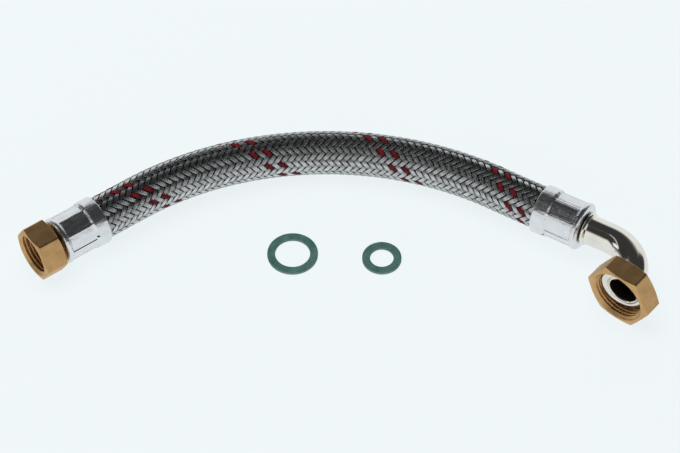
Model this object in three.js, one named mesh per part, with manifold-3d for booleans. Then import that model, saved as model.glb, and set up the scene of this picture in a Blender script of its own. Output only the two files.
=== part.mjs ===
// Flexible connector hose: a rubber tube in a steel wire braid, crimped at each end onto a brass tail
// that carries a loose union nut. The straight end is G1/2, the bent end is G3/4. The hose lies in an
// arch on the ground, with the two flat gaskets of its nuts beside it. Millimetres, Z up.
import * as THREE from 'three';
import { mergeVertices } from 'three/addons/utils/BufferGeometryUtils.js';
import Module from 'manifold-3d';

// Clearances
const FIT_GAP = 0.3; // between neighbouring pieces that touch in life

// Hose
const HOSE_DIAMETER = 21; // over the braid
const BRAID_WALL = 1.4; // wire braid, over its ridges
const TUBE_WALL = 2.3; // rubber tube
const BRAID_BANDS = 9; // chevron bands around the hose
const BRAID_PITCH = 3.51; // along the hose, from one float to the next
const BRAID_RELIEF = 0.4; // depth of the groove between two floats
const BRAID_TURN = 9; // degrees of the first chevron round the hose

// How the hose lies, seen from above: straight, one wide bend, straight
const STRAIGHT_AT_HALF_INCH = 21.4;
const STRAIGHT_AT_ELBOW = 24;
const BEND_RADIUS = 153;
const HEADING_HALF_INCH = 36.2; // degrees from X at the straight end
const HEADING_ELBOW = -32; // degrees from X at the bent end
const HOSE_OFF_GROUND = 0.1; // under the middle of the bend
const ELBOW_RISE = 2.5; // degrees, the bent end climbs to the height of its nut

// Ferrules, measured from the edge at the hose
const FERRULE_LENGTH = 24;
const COLLAR_LENGTH = 6.8; // unpressed collar at the hose
const COLLAR_WALL = 1.1;
const RIM_LENGTH = 3.6; // unpressed rim at the nut
const RIM_STEP = 0.3; // how far the rim's surface lies below the collar's
const CRIMP_DEPTH = 1.15; // how far the pressed flats lie below the collar's surface
const CRIMP_SLOPE = 1; // length of the slope from the collar down to the flats
const CRIMP_JAWS = 8;
const CRIMP_RIDGE = 0.35; // height of the ridges left between the jaws
const RIDGE_SHARE = 0.11; // width of a ridge, as a share of a jaw
const RIDGE_FOOT_SHARE = 0.065; // width of its slope to the flat
const FERRULE_WALL = 0.8; // where it is pressed and across its end
const FERRULE_EDGE = 0.5; // rounding of its collar and rim
const HOSE_ENTRY = 1; // how far the unpressed hose runs into the collar
const SIGHT_HOLE_DIAMETER = 1.3;
const SIGHT_HOLE_AT = 7;
const SIGHT_HOLE_TURN = { straight: 16, elbow: 200 }; // degrees around each ferrule
const CRIMP_TURN = { straight: 15, elbow: 9 }; // degrees of the first ridge around each ferrule

// Tails
const STEM_START = 2; // end of the stem inside the hose, from the ferrule's edge
const STEM_WALL = 1.2; // over the barbs
const BARB_DEPTH = 0.4;
const BARB_SPACING = 5;
const BARB_BACK = 0.2; // length of a barb's steep side
const BARB_COUNT = 3;
const NECK_WALL = 1.5; // of the tail where the ferrule's end wall grips it
const SHOULDER_HEIGHT = 1.4; // of the ring that the end wall pulls against
const SHOULDER_LENGTH = 1.2;
const TAIL_EDGE = 0.3; // bevel of the bead and of the flange
const BEAD_DIAMETER = 16.6; // round the tail, against the ferrule
const BEAD_LENGTH = { straight: 1, elbow: 2.4 };
const FLANGE_THICKNESS = 1.8; // sealing flange under the nut
const STRAIGHT_NECK_DIAMETER = 14;
const ELBOW_TUBE_DIAMETER = 14.3;
const ELBOW_TUBE_WALL = 0.75;
const ELBOW_BORE_CONE = 2; // length over which the bore widens from the stem to the tube
const ELBOW_MOUTH_FLARE = 1; // how much wider the bore is at the mouth
const ELBOW_BEND_RADIUS = 20;
const ELBOW_CORNER_AT = 57.3; // where its two centre lines meet, from the ferrule's edge
const ELBOW_MOUTH_STRAIGHT = 4.8; // from the bend to the sealing face
const MOUTH_BEVEL = 0.8;

// Union nuts
const NUT_LIP = 2.2; // wall behind the flange
const NUT_HOLE_GAP = 0.45; // round the tail, in the nut's back wall
const NUT_CHAMFER_ANGLE = 20; // degrees from the nut's face
const NUT_FACE_INSET = 0.6; // of the face's circle inside the flats
const THREAD_MOUTH = 0.5; // bevel at the mouth of the thread
const THREAD_RUNOUT = 1.6; // plain bore between the thread and the lip
const THREAD_FADE = 0.33; // part of a turn over which the groove runs out
const THREAD_DEPTH = 0.6403; // of a pipe thread, in pitches
const GROOVE_MOUTH = 1.12; // width of the thread's groove where it is widest, in pitches
const GROOVE_BOTTOM = 0.16; // its width at the major diameter, in pitches
const GROOVE_OVERLAP = 0.6; // how far the groove's cutter reaches inside the minor radius
const HALF_INCH = {
  acrossFlats: 24,
  faceToFlange: 7.7, // from the nut's face to the sealing face
  major: 20.96, // over the bottom of its thread
  pitch: 1.814,
  rock: 0, // degrees, the nut's lean on its tail
};
const THREE_QUARTER = {
  acrossFlats: 30,
  faceToFlange: 5,
  major: 26.44,
  pitch: 1.814,
  rock: 8,
};

// Gaskets, flat rings lying on the ground in front of the hose
const GASKET_THICKNESS = 1.5;
const GASKET_HALF_INCH = { outer: 18.6, inner: 11.2, along: 133.63, ahead: 14.67 };
const GASKET_THREE_QUARTER = { outer: 24, inner: 16.6, along: 91.53, ahead: 12.07 };

// Facets
const TURN_STEPS = 28; // round the metal pieces
const BEND_STEP = 12; // along the smooth walls of the hose
const THREAD_STEPS = 18; // per turn of thread
const ELBOW_STEPS = 8; // along the elbow's bend
const CUT = 1; // how far a cutter reaches past the face that it cuts

const wasm = await Module();
wasm.setup();

const rad = THREE.MathUtils.degToRad;
const UP = new THREE.Vector3(0, 0, 1);

// A heading seen from above and a rise, as a direction.
function direction(heading, rise = 0) {
  const flat = Math.cos(rad(rise));
  return new THREE.Vector3(
    flat * Math.cos(rad(heading)),
    flat * Math.sin(rad(heading)),
    Math.sin(rad(rise)),
  );
}

// The point and the three axes that a section of a piece is drawn in.
function section(point, along) {
  const side = new THREE.Vector3().crossVectors(UP, along).normalize();
  const up = new THREE.Vector3().crossVectors(along, side);
  return { point, along, side, up };
}

// A straight centre line from a point.
function straightLine(origin, along) {
  return (s) => section(origin.clone().addScaledVector(along, s), along);
}

// The elbow's centre line: straight to the bend, a quarter turn or less, then straight to the mouth.
function elbowLine(origin, inlet, outlet) {
  const turn = inlet.angleTo(outlet);
  const tangent = ELBOW_BEND_RADIUS * Math.tan(turn / 2);
  const bendStart = ELBOW_CORNER_AT - tangent;
  const bendEnd = bendStart + ELBOW_BEND_RADIUS * turn;
  const inward = outlet.clone().addScaledVector(inlet, -inlet.dot(outlet)).normalize();
  const corner = origin.clone().addScaledVector(inlet, ELBOW_CORNER_AT);
  const centre = origin.clone()
    .addScaledVector(inlet, bendStart)
    .addScaledVector(inward, ELBOW_BEND_RADIUS);
  function at(s) {
    if (s <= bendStart) {
      return section(origin.clone().addScaledVector(inlet, s), inlet);
    }
    if (s >= bendEnd) {
      return section(corner.clone().addScaledVector(outlet, tangent + s - bendEnd), outlet);
    }
    const a = (s - bendStart) / ELBOW_BEND_RADIUS;
    const point = centre.clone()
      .addScaledVector(inward, -ELBOW_BEND_RADIUS * Math.cos(a))
      .addScaledVector(inlet, ELBOW_BEND_RADIUS * Math.sin(a));
    const along = inlet.clone().multiplyScalar(Math.cos(a)).addScaledVector(inward, Math.sin(a));
    return section(point, along);
  }
  return { at, bendStart, bendEnd, mouth: bendEnd + ELBOW_MOUTH_STRAIGHT };
}

// The hose's centre line, from the edge of one ferrule to the edge of the other.
function hoseLine(heightStart, heightEnd) {
  const turn = rad(HEADING_HALF_INCH - HEADING_ELBOW);
  const arc = BEND_RADIUS * turn;
  const length = STRAIGHT_AT_HALF_INCH + arc + STRAIGHT_AT_ELBOW;
  const middle = STRAIGHT_AT_HALF_INCH + arc / 2;
  const low = HOSE_DIAMETER / 2 + HOSE_OFF_GROUND;
  const first = direction(HEADING_HALF_INCH);
  const last = direction(HEADING_ELBOW);
  const right = new THREE.Vector3().crossVectors(first, UP);
  const centre = first.clone().multiplyScalar(STRAIGHT_AT_HALF_INCH)
    .addScaledVector(right, BEND_RADIUS);
  function plan(s) {
    if (s <= STRAIGHT_AT_HALF_INCH) {
      return first.clone().multiplyScalar(s);
    }
    const a = Math.min((s - STRAIGHT_AT_HALF_INCH) / BEND_RADIUS, turn);
    const point = centre.clone()
      .addScaledVector(right, -BEND_RADIUS * Math.cos(a))
      .addScaledVector(first, BEND_RADIUS * Math.sin(a));
    return point.addScaledVector(last, Math.max(s - STRAIGHT_AT_HALF_INCH - arc, 0));
  }
  function height(s) {
    if (s <= 0) {
      return heightStart;
    }
    if (s >= length) {
      return heightEnd + (s - length) * Math.tan(rad(ELBOW_RISE));
    }
    if (s <= middle) {
      return low + (heightStart - low) * (1 - THREE.MathUtils.smoothstep(s, 0, middle));
    }
    const run = length - middle;
    const u = (s - middle) / run;
    const climb = run * Math.tan(rad(ELBOW_RISE));
    return low + (heightEnd - low) * u * u * (3 - 2 * u) + climb * u * u * (u - 1);
  }
  function point(s) {
    return plan(s).setZ(height(s));
  }
  function at(s) {
    const along = point(s + 0.01).sub(point(s - 0.01)).normalize();
    return section(point(s), along);
  }
  return { at, length };
}

// Evenly spaced angles round a section.
function turnAngles(steps, start = 0) {
  return Array.from({ length: steps }, (unused, i) => start + (2 * Math.PI * i) / steps);
}

// A closed ring of points round a centre line.
function ringOf(line, angles, station, radius) {
  return angles.map((angle, i) => {
    const at = line(typeof station === 'function' ? station(angle, i) : station);
    const r = typeof radius === 'function' ? radius(angle, i) : radius;
    return at.point.clone()
      .addScaledVector(at.side, r * Math.cos(angle))
      .addScaledVector(at.up, r * Math.sin(angle));
  });
}

// One closed skin over a loop of rings, the last joined to the first.
function skinOverRings(rings) {
  const faces = [];
  const n = rings[0].length;
  rings.forEach((ring, i) => {
    const here = i * n;
    const next = ((i + 1) % rings.length) * n;
    for (let j = 0; j < n; j += 1) {
      const k = (j + 1) % n;
      faces.push(here + j, here + k, next + j, here + k, next + k, next + j);
    }
  });
  return closedGeometry(rings.flat(), faces);
}

// A geometry with its faces turned outward.
function closedGeometry(points, faces) {
  let volume = 0;
  for (let i = 0; i < faces.length; i += 3) {
    const [a, b, c] = [points[faces[i]], points[faces[i + 1]], points[faces[i + 2]]];
    volume += a.dot(new THREE.Vector3().crossVectors(b, c));
  }
  const index = volume < 0 ? faces.slice().reverse() : faces;
  const geometry = new THREE.BufferGeometry();
  geometry.setAttribute(
    'position',
    new THREE.Float32BufferAttribute(points.flatMap((p) => p.toArray()), 3),
  );
  geometry.setIndex(index);
  return geometry;
}

// A hollow body from a closed outline of [station, radius] turned round a centre line.
function turnedBody(line, outline, angles = turnAngles(TURN_STEPS)) {
  return skinOverRings(outline.map(([station, radius]) => ringOf(line, angles, station, radius)));
}

// Stations from one end to another, no further apart than a step.
function stations(from, to, step) {
  const count = Math.max(1, Math.ceil((to - from) / step));
  return Array.from({ length: count + 1 }, (unused, i) => from + ((to - from) * i) / count);
}

function toManifold(geometry) {
  const bare = new THREE.BufferGeometry();
  bare.setAttribute('position', geometry.getAttribute('position').clone());
  bare.setIndex(geometry.index ? geometry.index.clone() : null);
  const merged = mergeVertices(bare, 1e-5);
  return new wasm.Manifold(new wasm.Mesh({
    numProp: 3,
    vertProperties: new Float32Array(merged.getAttribute('position').array),
    triVerts: new Uint32Array(merged.index.array),
  }));
}

function fromManifold(solid) {
  const mesh = solid.getMesh();
  const geometry = new THREE.BufferGeometry();
  const places = new Float32Array(mesh.numVert * 3);
  for (let i = 0; i < mesh.numVert; i += 1) {
    places.set(mesh.vertProperties.subarray(i * mesh.numProp, i * mesh.numProp + 3), i * 3);
  }
  geometry.setAttribute('position', new THREE.BufferAttribute(places, 3));
  geometry.setIndex(Array.from(mesh.triVerts));
  return geometry;
}

// A solid cone or rod of [station, radius] steps on a centre line, its ends on the axis.
function solidRod(line, steps, angles) {
  const points = [];
  const faces = [];
  const rings = steps.map(([station, radius]) => {
    const start = points.length;
    points.push(...ringOf(line, angles, station, radius));
    return start;
  });
  const n = angles.length;
  for (let i = 0; i + 1 < rings.length; i += 1) {
    for (let j = 0; j < n; j += 1) {
      const k = (j + 1) % n;
      faces.push(rings[i] + j, rings[i] + k, rings[i + 1] + j);
      faces.push(rings[i] + k, rings[i + 1] + k, rings[i + 1] + j);
    }
  }
  [[0, rings[0]], [steps.length - 1, rings[rings.length - 1]]].forEach(([step, start], end) => {
    const middle = points.length;
    points.push(line(steps[step][0]).point);
    for (let j = 0; j < n; j += 1) {
      const k = (j + 1) % n;
      faces.push(...(end ? [start + j, start + k, middle] : [start + k, start + j, middle]));
    }
  });
  return toManifold(closedGeometry(points, faces));
}

// Outer radius of a ferrule's collar.
function collarRadius() {
  return HOSE_DIAMETER / 2 + FIT_GAP + COLLAR_WALL;
}

// Inner radius of the ferrule where it is pressed, and of what it holds there.
function pressedRadii() {
  const shell = collarRadius() - CRIMP_DEPTH - FERRULE_WALL;
  const braid = shell - FIT_GAP;
  const tube = braid - BRAID_WALL + BRAID_RELIEF;
  return { shell, braid, tube };
}

// Lengths inside a ferrule, from its edge at the hose.
function ferruleStations() {
  const crimpStart = COLLAR_LENGTH + CRIMP_SLOPE;
  const crimpEnd = FERRULE_LENGTH - RIM_LENGTH;
  const endWall = FERRULE_LENGTH - FERRULE_WALL;
  const shoulderEnd = endWall - FIT_GAP;
  const shoulderStart = shoulderEnd - SHOULDER_LENGTH;
  const hoseEnd = shoulderStart - FIT_GAP;
  return { crimpStart, crimpEnd, endWall, shoulderStart, shoulderEnd, hoseEnd };
}

// Radius of a tail over its barbs, which fill the rubber tube.
function barbRadius() {
  return HOSE_DIAMETER / 2 - BRAID_WALL - TUBE_WALL - 2 * FIT_GAP;
}

function stemBoreRadius() {
  return barbRadius() - STEM_WALL;
}

// Radius of a tail in the ferrule's end wall.
function neckRadius() {
  return stemBoreRadius() + NECK_WALL;
}

function rubberTube(line, length) {
  const outer = HOSE_DIAMETER / 2 - BRAID_WALL - FIT_GAP;
  const inner = outer - TUBE_WALL;
  const { crimpStart, crimpEnd, hoseEnd } = ferruleStations();
  const pressed = Math.min(outer, pressedRadii().tube - FIT_GAP);
  const free = stations(-HOSE_ENTRY, length + HOSE_ENTRY, BEND_STEP);
  const outline = [
    [-hoseEnd, pressed],
    [-crimpStart, pressed],
    [-COLLAR_LENGTH / 2, outer],
    ...free.map((s) => [s, outer]),
    [length + COLLAR_LENGTH / 2, outer],
    [length + crimpStart, pressed],
    [length + crimpEnd, pressed],
    [length + hoseEnd, pressed],
    [length + hoseEnd, inner],
    ...free.slice().reverse().map((s) => [s, inner]),
    [-hoseEnd, inner],
  ];
  return turnedBody(line, outline, turnAngles(BRAID_BANDS * 2));
}

// The braid: floats slant one way in one column and the other way in the next, so they meet in
// chevrons. Rows of ridges and grooves follow them.
function wireBraid(line, length) {
  const angles = turnAngles(BRAID_BANDS * 2, rad(BRAID_TURN));
  const ridge = HOSE_DIAMETER / 2;
  const inner = ridge - BRAID_WALL;
  const pressed = pressedRadii();
  const { crimpStart, hoseEnd } = ferruleStations();
  const zigzag = (i) => (i % 2 ? -BRAID_PITCH / 2 : BRAID_PITCH / 2);
  const rows = Math.floor(length / BRAID_PITCH + 1) * 2;
  const start = (length - (rows * BRAID_PITCH) / 2) / 2;
  const woven = Array.from({ length: rows + 1 }, (unused, row) => [
    (angle, i) => start + (row * BRAID_PITCH) / 2 + zigzag(i),
    row % 2 ? ridge : ridge - BRAID_RELIEF,
  ]);
  const inside = stations(-HOSE_ENTRY, length + HOSE_ENTRY, BEND_STEP).reverse();
  const outline = [
    [-hoseEnd, pressed.braid],
    [-crimpStart, pressed.braid],
    ...woven,
    [length + crimpStart, pressed.braid],
    [length + hoseEnd, pressed.braid],
    [length + hoseEnd, pressed.tube],
    [length + crimpStart, pressed.tube],
    [length + COLLAR_LENGTH / 2, inner],
    ...inside.map((s) => [s, inner]),
    [-COLLAR_LENGTH / 2, inner],
    [-crimpStart, pressed.tube],
    [-hoseEnd, pressed.tube],
  ];
  return turnedBody(line, outline, angles);
}

// Angles round a ferrule: two on each ridge between jaws, two at its feet, one on each flat.
function crimpAngles(firstRidge) {
  const jaw = 360 / CRIMP_JAWS;
  const half = RIDGE_SHARE / 2;
  const foot = half + RIDGE_FOOT_SHARE;
  const marks = [-half, half, foot, 0.5, 1 - foot];
  return Array.from({ length: CRIMP_JAWS }, (unused, i) => (
    marks.map((m) => rad(firstRidge + (i + m) * jaw))
  )).flat();
}

function ferrule(line, firstRidge, sightTurn) {
  const { crimpStart, crimpEnd, endWall } = ferruleStations();
  const angles = crimpAngles(firstRidge);
  const collar = collarRadius();
  const rim = collar - RIM_STEP;
  const flat = collar - CRIMP_DEPTH;
  const crimped = (angle, i) => flat + (i % 5 < 2 ? CRIMP_RIDGE : 0);
  const hole = neckRadius() + FIT_GAP;
  const rimInside = rim - FERRULE_WALL - FERRULE_EDGE;
  const pressedInside = flat - FERRULE_WALL;
  const collarInside = HOSE_DIAMETER / 2 + FIT_GAP;
  const outline = [
    [0, collar - FERRULE_EDGE],
    [FERRULE_EDGE, collar],
    [COLLAR_LENGTH - FERRULE_EDGE, collar],
    [crimpStart - FERRULE_EDGE / 2, flat + CRIMP_RIDGE],
    [crimpStart, crimped],
    [crimpEnd - FERRULE_EDGE, crimped],
    [crimpEnd, rim - FERRULE_EDGE / 2],
    [crimpEnd + FERRULE_EDGE, rim],
    [FERRULE_LENGTH - 2 * FERRULE_EDGE, rim],
    [FERRULE_LENGTH - FERRULE_EDGE / 2, rim - FERRULE_EDGE],
    [FERRULE_LENGTH, rim - 2 * FERRULE_EDGE],
    [FERRULE_LENGTH, hole],
    [endWall, hole],
    [endWall, rimInside],
    [crimpEnd + FERRULE_EDGE, rimInside],
    [crimpEnd - FERRULE_WALL, pressedInside],
    [crimpStart + FERRULE_EDGE, pressedInside],
    [COLLAR_LENGTH - FERRULE_WALL, collarInside],
    [0, collarInside],
  ];
  const shell = toManifold(turnedBody(line, outline, angles));
  const at = line(SIGHT_HOLE_AT);
  const outward = at.side.clone().multiplyScalar(Math.cos(rad(sightTurn)))
    .addScaledVector(at.up, Math.sin(rad(sightTurn)));
  const drill = solidRod(
    (s) => ({
      point: at.point.clone().addScaledVector(outward, s),
      side: at.along,
      up: new THREE.Vector3().crossVectors(outward, at.along),
    }),
    [[HOSE_DIAMETER / 2 - CUT, SIGHT_HOLE_DIAMETER / 2], [collar + CUT, SIGHT_HOLE_DIAMETER / 2]],
    turnAngles(12),
  );
  return fromManifold(shell.subtract(drill));
}

// The part of a tail that goes into the hose: barbs, a shoulder, the neck and the bead.
function stemOutline(beadLength) {
  const { shoulderStart, shoulderEnd } = ferruleStations();
  const barb = barbRadius();
  const outline = [[STEM_START, barb - BARB_DEPTH]];
  for (let i = 0; i < BARB_COUNT; i += 1) {
    const crest = STEM_START + BARB_SPACING * (i + 1) - BARB_BACK;
    outline.push([crest, barb], [crest + BARB_BACK, barb - BARB_DEPTH]);
  }
  const bead = FERRULE_LENGTH + FIT_GAP;
  const beadRadius = BEAD_DIAMETER / 2;
  const neck = neckRadius();
  outline.push(
    [shoulderStart, barb - BARB_DEPTH],
    [shoulderStart, neck + SHOULDER_HEIGHT],
    [shoulderEnd, neck + SHOULDER_HEIGHT],
    [shoulderEnd, neck],
    [bead, neck],
    [bead, beadRadius - TAIL_EDGE],
    [bead + TAIL_EDGE, beadRadius],
    [bead + beadLength - 2 * TAIL_EDGE, beadRadius],
  );
  return outline;
}

// Radius over the crests of a nut's thread.
function crestRadius(nut) {
  return nut.major / 2 - THREAD_DEPTH * nut.pitch;
}

// Distances behind a sealing face at which its nut's lip begins and ends.
function lipStations(nut, flangeRadius) {
  const lean = rad(nut.rock);
  const start = FLANGE_THICKNESS * Math.cos(lean) + flangeRadius * Math.sin(lean) + FIT_GAP;
  return { start, end: start + NUT_LIP };
}

// A flange that clears the thread even while the nut leans.
function flangeRadiusFor(nut) {
  const lean = rad(nut.rock);
  return (crestRadius(nut) - FIT_GAP - FLANGE_THICKNESS * Math.sin(lean)) / Math.cos(lean);
}

function straightMouth() {
  const lip = lipStations(HALF_INCH, flangeRadiusFor(HALF_INCH));
  return FERRULE_LENGTH + FIT_GAP + BEAD_LENGTH.straight + lip.end;
}

function straightTail(line) {
  const mouth = straightMouth();
  const flange = flangeRadiusFor(HALF_INCH);
  const neck = STRAIGHT_NECK_DIAMETER / 2;
  const bore = stemBoreRadius();
  const bead = FERRULE_LENGTH + FIT_GAP + BEAD_LENGTH.straight;
  const outline = [
    ...stemOutline(BEAD_LENGTH.straight),
    [bead, neck],
    [mouth - FLANGE_THICKNESS, neck],
    [mouth - FLANGE_THICKNESS, flange],
    [mouth - TAIL_EDGE, flange],
    [mouth, flange - TAIL_EDGE],
    [mouth, bore + MOUTH_BEVEL],
    [mouth - MOUTH_BEVEL, bore],
    [STEM_START, bore],
  ];
  return turnedBody(line, outline);
}

function elbowTail(elbow) {
  const flange = flangeRadiusFor(THREE_QUARTER);
  const tube = ELBOW_TUBE_DIAMETER / 2;
  const bore = tube - ELBOW_TUBE_WALL;
  const mouthBore = bore + ELBOW_MOUTH_FLARE / 2;
  const bead = FERRULE_LENGTH + FIT_GAP + BEAD_LENGTH.elbow;
  const mouth = elbow.mouth;
  const step = (elbow.bendEnd - elbow.bendStart) / ELBOW_STEPS;
  const bend = stations(elbow.bendStart, elbow.bendEnd, step);
  const outline = [
    ...stemOutline(BEAD_LENGTH.elbow),
    [bead, tube],
    ...bend.map((s) => [s, tube]),
    [mouth - FLANGE_THICKNESS, tube],
    [mouth - FLANGE_THICKNESS, flange],
    [mouth - TAIL_EDGE, flange],
    [mouth, flange - TAIL_EDGE],
    [mouth, mouthBore + MOUTH_BEVEL],
    [mouth - MOUTH_BEVEL, mouthBore],
    ...bend.slice().reverse().map((s) => [s, bore]),
    [bead + ELBOW_BORE_CONE, bore],
    [bead, stemBoreRadius()],
    [STEM_START, stemBoreRadius()],
  ];
  return turnedBody(elbow.at, outline);
}

// The cutter for a nut's right-handed thread: a helical ridge from in front of the face to the
// run-out.
function threadCutter(line, nut, depth) {
  const turns = (depth + nut.pitch) / nut.pitch;
  const count = Math.round(turns * THREAD_STEPS);
  const inside = crestRadius(nut) - GROOVE_OVERLAP;
  const outside = nut.major / 2;
  const wide = (GROOVE_MOUTH * nut.pitch) / 2;
  const narrow = (GROOVE_BOTTOM * nut.pitch) / 2;
  const corners = [
    [inside, -wide],
    [outside, -narrow],
    [outside, narrow],
    [inside, wide],
  ];
  const points = [];
  const faces = [];
  for (let i = 0; i <= count; i += 1) {
    const angle = (-2 * Math.PI * i) / THREAD_STEPS;
    const s = nut.pitch - (nut.pitch * i) / THREAD_STEPS;
    const fade = Math.min(1, (count + 1 - i) / (THREAD_STEPS * THREAD_FADE));
    corners.forEach(([radius, offset]) => {
      points.push(...ringOf(line, [angle], s + offset * fade, inside + (radius - inside) * fade));
    });
  }
  for (let i = 0; i < count; i += 1) {
    for (let j = 0; j < 4; j += 1) {
      const k = (j + 1) % 4;
      const a = 4 * i;
      faces.push(a + j, a + k, a + 4 + j, a + k, a + 4 + k, a + 4 + j);
    }
  }
  const last = 4 * count;
  faces.push(2, 1, 0, 3, 2, 0, last, last + 1, last + 2, last, last + 2, last + 3);
  return toManifold(closedGeometry(points, faces));
}

// A union nut with its face at station 0 and its back behind it.
function unionNut(line, nut, tubeRadius) {
  const flange = flangeRadiusFor(nut);
  const lip = lipStations(nut, flange);
  const lipStart = nut.faceToFlange + lip.start;
  const height = nut.faceToFlange + lip.end;
  const lean = rad(nut.rock);
  const hole = tubeRadius / Math.cos(lean) + lip.end * Math.tan(lean) + NUT_HOLE_GAP;
  const corner = nut.acrossFlats / Math.sqrt(3);
  const face = nut.acrossFlats / 2 - NUT_FACE_INSET;
  const wideRadius = corner + CUT;
  const chamfer = (wideRadius - face) * Math.tan(rad(NUT_CHAMFER_ANGLE));
  const crest = crestRadius(nut);
  const round = turnAngles(2 * THREAD_STEPS);
  const prism = solidRod(line, [[0, corner], [-height, corner]], turnAngles(6));
  const rounded = solidRod(
    line,
    [[0, face], [-chamfer, wideRadius], [chamfer - height, wideRadius], [-height, face]],
    round,
  );
  const bore = solidRod(line, [[CUT, crest], [-lipStart, crest]], round);
  const backHole = solidRod(line, [[CUT - lipStart, hole], [-height - CUT, hole]], round);
  const mouthRadius = nut.major / 2 + THREAD_MOUTH;
  const mouth = solidRod(
    line,
    [[CUT, mouthRadius + CUT], [crest - CUT - mouthRadius, crest - CUT]],
    round,
  );
  const thread = threadCutter(line, nut, lipStart - THREAD_RUNOUT);
  const shape = prism.intersect(rounded)
    .subtract(bore)
    .subtract(backHole)
    .subtract(mouth)
    .subtract(thread);
  return fromManifold(shape);
}

function gasketRing(ring) {
  const centre = new THREE.Vector3(ring.along, -ring.ahead, 0);
  const line = (s) => ({
    point: centre.clone().setZ(s),
    side: new THREE.Vector3(1, 0, 0),
    up: new THREE.Vector3(0, 1, 0),
  });
  const outline = [
    [0, ring.outer / 2],
    [GASKET_THICKNESS, ring.outer / 2],
    [GASKET_THICKNESS, ring.inner / 2],
    [0, ring.inner / 2],
  ];
  return turnedBody(line, outline);
}

function steelWire() {
  return new THREE.MeshStandardMaterial({ color: 0xa9aba9, roughness: 0.35, metalness: 1 });
}

function blackRubber() {
  return new THREE.MeshStandardMaterial({ color: 0x1b1c1d, roughness: 0.85, metalness: 0 });
}

function aluminium() {
  return new THREE.MeshStandardMaterial({ color: 0xdfe2e4, roughness: 0.18, metalness: 1 });
}

function nickelPlate() {
  return new THREE.MeshStandardMaterial({ color: 0xd2cdc2, roughness: 0.15, metalness: 1 });
}

function brass() {
  return new THREE.MeshStandardMaterial({ color: 0xb08d57, roughness: 0.38, metalness: 1 });
}

function gasketFibre() {
  return new THREE.MeshStandardMaterial({ color: 0x42685e, roughness: 0.8, metalness: 0 });
}

function named(name, geometry, material) {
  const flat = geometry.index ? geometry.toNonIndexed() : geometry;
  flat.computeVertexNormals();
  const mesh = new THREE.Mesh(flat, material);
  mesh.name = name;
  return mesh;
}

function buildHose() {
  // Each end rests on the widest piece there, a flat of its nut, which sets the end's height.
  const lowest = collarRadius() + HOSE_OFF_GROUND;
  const cornerHeight = THREE_QUARTER.acrossFlats / 2;
  const heightStart = Math.max(HALF_INCH.acrossFlats / 2, lowest);
  const heightEnd = Math.max(cornerHeight - ELBOW_CORNER_AT * Math.sin(rad(ELBOW_RISE)), lowest);
  const hose = hoseLine(heightStart, heightEnd);

  const straightAxis = direction(HEADING_HALF_INCH + 180);
  const straight = straightLine(hose.at(0).point, straightAxis);
  const inlet = direction(HEADING_ELBOW, ELBOW_RISE);
  const outlet = direction(HEADING_ELBOW - 90);
  const elbow = elbowLine(hose.at(hose.length).point, inlet, outlet);

  const halfFace = straight(straightMouth() + HALF_INCH.faceToFlange).point;
  const halfNutLine = straightLine(halfFace, straightAxis);
  const leaning = direction(HEADING_ELBOW - 90 - THREE_QUARTER.rock);
  const bigFace = elbow.at(elbow.mouth).point.addScaledVector(leaning, THREE_QUARTER.faceToFlange);
  const bigNutLine = straightLine(bigFace, leaning);

  const straightFerrule = ferrule(straight, CRIMP_TURN.straight, SIGHT_HOLE_TURN.straight);
  const elbowFerrule = ferrule(elbow.at, CRIMP_TURN.elbow, SIGHT_HOLE_TURN.elbow);
  const smallNut = unionNut(halfNutLine, HALF_INCH, STRAIGHT_NECK_DIAMETER / 2);
  const bigNut = unionNut(bigNutLine, THREE_QUARTER, ELBOW_TUBE_DIAMETER / 2);

  const group = new THREE.Group();
  group.name = 'flexible_hose';
  group.add(
    named('inner_tube', rubberTube(hose.at, hose.length), blackRubber()),
    named('wire_braid', wireBraid(hose.at, hose.length), steelWire()),
    named('ferrule_straight', straightFerrule, aluminium()),
    named('ferrule_elbow', elbowFerrule, aluminium()),
    named('tail_straight', straightTail(straight), brass()),
    named('tail_elbow', elbowTail(elbow), nickelPlate()),
    named('nut_half_inch', smallNut, brass()),
    named('nut_three_quarter', bigNut, brass()),
    named('gasket_half_inch', gasketRing(GASKET_HALF_INCH), gasketFibre()),
    named('gasket_three_quarter', gasketRing(GASKET_THREE_QUARTER), gasketFibre()),
  );

  // The origin is under the middle of the whole, on the ground.
  const box = new THREE.Box3().setFromObject(group, true);
  const centre = box.getCenter(new THREE.Vector3());
  group.children.forEach((mesh) => {
    mesh.geometry.translate(-centre.x, -centre.y, -box.min.z);
  });
  return group;
}

export default buildHose();
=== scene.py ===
"""Looks of the flexible connector hose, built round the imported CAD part.

Shapes are worked out in millimetres along each piece's own centre line and turned into metres where
the meshes are made.
"""
import math

import bpy
import numpy as np
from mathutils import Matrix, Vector


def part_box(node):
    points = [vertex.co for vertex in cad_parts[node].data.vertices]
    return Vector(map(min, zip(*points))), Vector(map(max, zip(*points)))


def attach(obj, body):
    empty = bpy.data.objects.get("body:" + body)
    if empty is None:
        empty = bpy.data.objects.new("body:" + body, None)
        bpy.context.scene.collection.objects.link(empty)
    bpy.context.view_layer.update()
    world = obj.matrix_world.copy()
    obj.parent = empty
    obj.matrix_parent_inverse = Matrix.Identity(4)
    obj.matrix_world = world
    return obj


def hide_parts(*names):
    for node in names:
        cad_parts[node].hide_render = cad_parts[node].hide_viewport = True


MM = 0.001

# The photograph's camera
PHOTO_WIDTH = 680  # pixels
CAMERA_ELEVATION = 51.2  # degrees
CAMERA_DISTANCE = 1400
CAMERA_FOCAL = 2940  # pixels
CAMERA_TARGET = (2.27, 8.5, 0)
CAMERA_CLIP = (0.05, 20)  # metres
SENSOR_WIDTH = 36

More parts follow.
